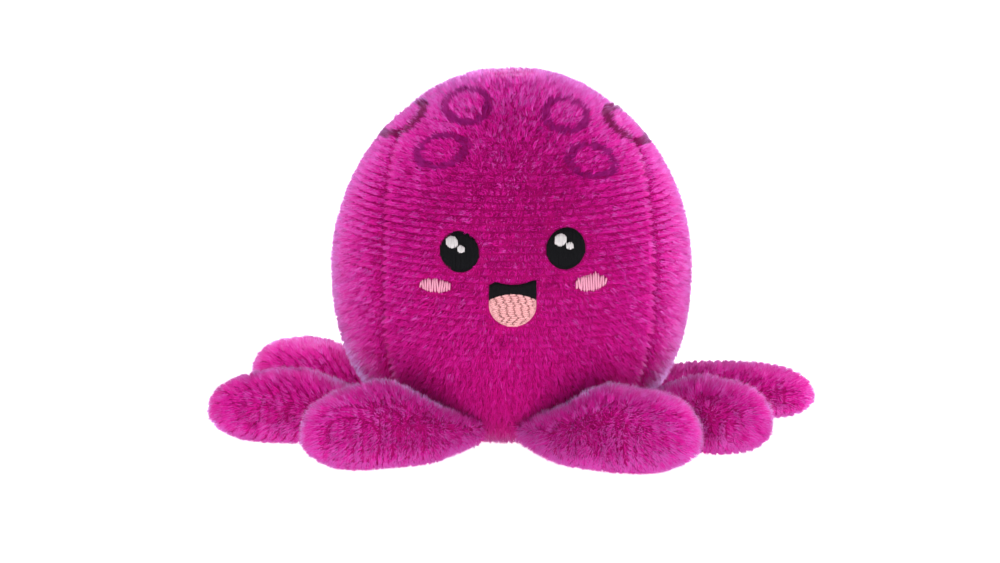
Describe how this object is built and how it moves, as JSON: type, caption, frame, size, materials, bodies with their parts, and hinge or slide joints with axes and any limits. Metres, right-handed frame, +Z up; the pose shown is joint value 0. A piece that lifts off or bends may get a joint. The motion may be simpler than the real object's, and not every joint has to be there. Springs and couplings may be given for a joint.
{
  "type": "plush octopus toy",
  "caption": "Small round plush octopus with an embroidered smiling face, a domed head and flat, club-shaped tentacles spread on the floor.",
  "frame": {"origin": "middle of the flat underside of the head, on the surface the toy sits on", "axes": "+Z up through the crown, -Y the way the face looks, +X to the viewer's right and along the tentacles' widest spread"},
  "size_m": [0.1249, 0.1039, 0.0745],
  "materials": {
    "plush_head": "short magenta pile, soft sheen",
    "plush_tentacle": "short magenta pile, soft sheen",
    "fibre": "loose white fibre",
    "bag_cloth": "plain woven cotton",
    "pellets": "loose plastic pellets",
    "sewing_thread": "matte polyester thread",
    "black_thread": "satin embroidery thread",
    "white_thread": "satin embroidery thread",
    "pink_thread": "satin embroidery thread",
    "peach_thread": "satin embroidery thread"
  },
  "bodies": {
    "head": {"face_panel": "plush_head", "left_side_panel": "plush_head", "right_side_panel": "plush_head", "back_panel": "plush_head", "base_panel": "plush_head", "front_left_seam_thread": "sewing_thread", "front_right_seam_thread": "sewing_thread", "back_left_seam_thread": "sewing_thread", "back_right_seam_thread": "sewing_thread", "crown_seam_thread": "sewing_thread", "neck_seam_thread": "sewing_thread", "head_stuffing": "fibre", "pellet_bag_top": "bag_cloth", "pellet_bag_bottom": "bag_cloth", "pellet_fill": "pellets", "eye_left": "black_thread", "eye_left_large_highlight": "white_thread", "eye_left_small_highlight": "white_thread", "eye_right": "black_thread", "eye_right_large_highlight": "white_thread", "eye_right_small_highlight": "white_thread", "cheek_left": "pink_thread", "cheek_right": "pink_thread", "mouth": "black_thread", "tongue": "peach_thread"},
    "front_left_tentacle": {"front_left_tentacle_top": "plush_tentacle", "front_left_tentacle_underside": "plush_tentacle", "front_left_tentacle_stuffing": "fibre"},
    "side_left_tentacle": {"side_left_tentacle_top": "plush_tentacle", "side_left_tentacle_underside": "plush_tentacle", "side_left_tentacle_stuffing": "fibre"},
    "rear_left_tentacle": {"rear_left_tentacle_top": "plush_tentacle", "rear_left_tentacle_underside": "plush_tentacle", "rear_left_tentacle_stuffing": "fibre"},
    "back_left_tentacle": {"back_left_tentacle_top": "plush_tentacle", "back_left_tentacle_underside": "plush_tentacle", "back_left_tentacle_stuffing": "fibre"},
    "front_right_tentacle": {"front_right_tentacle_top": "plush_tentacle", "front_right_tentacle_underside": "plush_tentacle", "front_right_tentacle_stuffing": "fibre"},
    "side_right_tentacle": {"side_right_tentacle_top": "plush_tentacle", "side_right_tentacle_underside": "plush_tentacle", "side_right_tentacle_stuffing": "fibre"},
    "rear_right_tentacle": {"rear_right_tentacle_top": "plush_tentacle", "rear_right_tentacle_underside": "plush_tentacle", "rear_right_tentacle_stuffing": "fibre"},
    "back_right_tentacle": {"back_right_tentacle_top": "plush_tentacle", "back_right_tentacle_underside": "plush_tentacle", "back_right_tentacle_stuffing": "fibre"}
  },
  "joints": [
    {"name": "front_left_tentacle_lift", "type": "hinge", "parent": "head", "child": "front_left_tentacle", "pos_m": [-0.01453, -0.02567, 0.0084], "axis": [-0.6767, 0.7363, 0], "range_deg": [0, 30]},
    {"name": "side_left_tentacle_lift", "type": "hinge", "parent": "head", "child": "side_left_tentacle", "pos_m": [-0.02735, -0.01105, 0.0084], "axis": [-0.1564, 0.9877, 0], "range_deg": [0, 30]},
    {"name": "rear_left_tentacle_lift", "type": "hinge", "parent": "head", "child": "rear_left_tentacle", "pos_m": [-0.02735, 0.01105, 0.0084], "axis": [0.5237, 0.8519, 0], "range_deg": [0, 30]},
    {"name": "back_left_tentacle_lift", "type": "hinge", "parent": "head", "child": "back_left_tentacle", "pos_m": [-0.012, 0.02695, 0.0084], "axis": [0.8918, 0.4525, 0], "range_deg": [0, 30]},
    {"name": "front_right_tentacle_lift", "type": "hinge", "parent": "head", "child": "front_right_tentacle", "pos_m": [0.01009, -0.02772, 0.0084], "axis": [-0.7494, -0.6621, 0], "range_deg": [0, 30]},
    {"name": "side_right_tentacle_lift", "type": "hinge", "parent": "head", "child": "side_right_tentacle", "pos_m": [0.02715, -0.01153, 0.0084], "axis": [-0.5197, -0.8543, 0], "range_deg": [0, 30]},
    {"name": "rear_right_tentacle_lift", "type": "hinge", "parent": "head", "child": "rear_right_tentacle", "pos_m": [0.02806, 0.00912, 0.0084], "axis": [0.0955, -0.9954, 0], "range_deg": [0, 30]},
    {"name": "back_right_tentacle_lift", "type": "hinge", "parent": "head", "child": "back_right_tentacle", "pos_m": [0.012, 0.02695, 0.0084], "axis": [0.8499, -0.5269, 0], "range_deg": [0, 30]}
  ]
}
